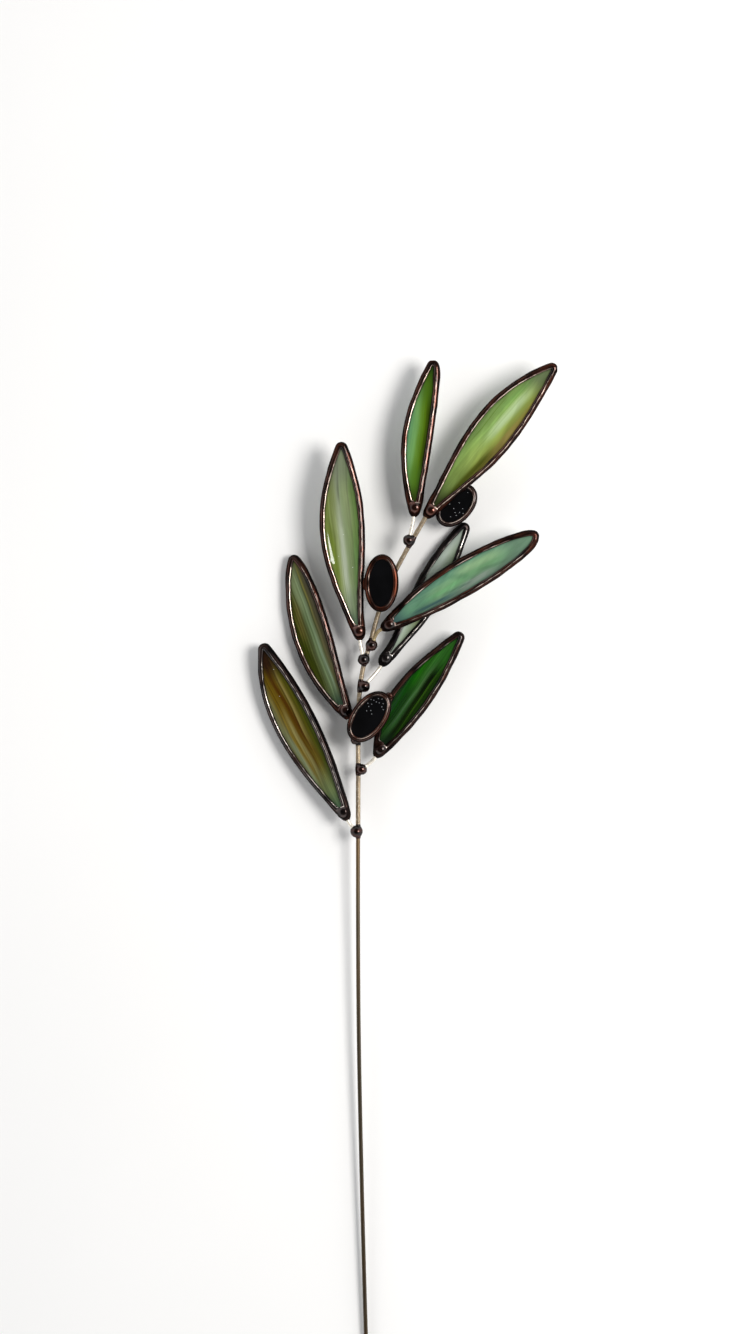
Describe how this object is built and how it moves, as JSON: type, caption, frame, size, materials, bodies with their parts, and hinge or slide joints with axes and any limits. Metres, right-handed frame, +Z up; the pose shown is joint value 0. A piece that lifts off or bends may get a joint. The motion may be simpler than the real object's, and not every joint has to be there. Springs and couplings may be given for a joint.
{
  "type": "stained-glass olive branch",
  "caption": "Olive branch of stained glass: streaky leaf panes and black oval olives edged in dark solder on a thin bent rod with short wire stalks and solder beads.",
  "frame": {"origin": "middle of the bounding box's bottom face, on the surface that the branch lies on", "axes": "+Y from the cut end of the stem to the leaf tips, +X to the right seen from the front of the glass, +Z up, away from the surface"},
  "size_m": [0.115, 0.4204, 0.017],
  "materials": {
    "leaf_1_glass": "glossy streaky opal glass, amber and olive brown with khaki streaks",
    "leaf_2_glass": "glossy streaky opal glass, olive brown and blue-green streaks",
    "leaf_3_glass": "glossy streaky opal glass, sage with a pale streak",
    "leaf_4_glass": "glossy streaky opal glass, blue-green to dark olive green",
    "leaf_5_glass": "glossy streaky opal glass, light green with a pale middle",
    "leaf_6_glass": "glossy streaky opal glass, teal with grey wisps",
    "leaf_7_glass": "glossy streaky opal glass, pale grey-green",
    "leaf_8_glass": "glossy streaky opal glass, emerald with dark bands",
    "olive_glass": "glossy black opal glass",
    "stem_rod": "satin bronze rod, tinned tan above the lowest bead",
    "stalk_wire": "bright tinned wire",
    "bead_solder": "glossy solder with a dark brown patina",
    "copper_solder": "satin solder with a copper-brown patina",
    "dark_solder": "satin solder with a gunmetal black patina"
  },
  "bodies": {
    "root": {"stem": "stem_rod", "leaf_1_glass": "leaf_1_glass", "leaf_1_rim": "dark_solder", "leaf_1_stalk": "stalk_wire", "leaf_1_bead": "bead_solder", "leaf_2_glass": "leaf_2_glass", "leaf_2_rim": "copper_solder", "leaf_2_stalk": "stalk_wire", "leaf_2_bead": "bead_solder", "leaf_3_glass": "leaf_3_glass", "leaf_3_rim": "copper_solder", "leaf_3_stalk": "stalk_wire", "leaf_3_bead": "bead_solder", "leaf_4_glass": "leaf_4_glass", "leaf_4_rim": "copper_solder", "leaf_4_stalk": "stalk_wire", "leaf_4_bead": "bead_solder", "leaf_5_glass": "leaf_5_glass", "leaf_5_rim": "copper_solder", "leaf_6_glass": "leaf_6_glass", "leaf_6_rim": "copper_solder", "leaf_6_stalk": "stalk_wire", "leaf_6_bead": "bead_solder", "leaf_7_glass": "leaf_7_glass", "leaf_7_rim": "dark_solder", "leaf_7_stalk": "stalk_wire", "leaf_7_bead": "bead_solder", "leaf_8_glass": "leaf_8_glass", "leaf_8_rim": "dark_solder", "leaf_8_stalk": "stalk_wire", "leaf_8_bead": "bead_solder", "olive_1_glass": "olive_glass", "olive_1_rim": "copper_solder", "olive_2_glass": "olive_glass", "olive_2_rim": "copper_solder", "olive_3_glass": "olive_glass", "olive_3_rim": "copper_solder"}
  },
  "joints": []
}
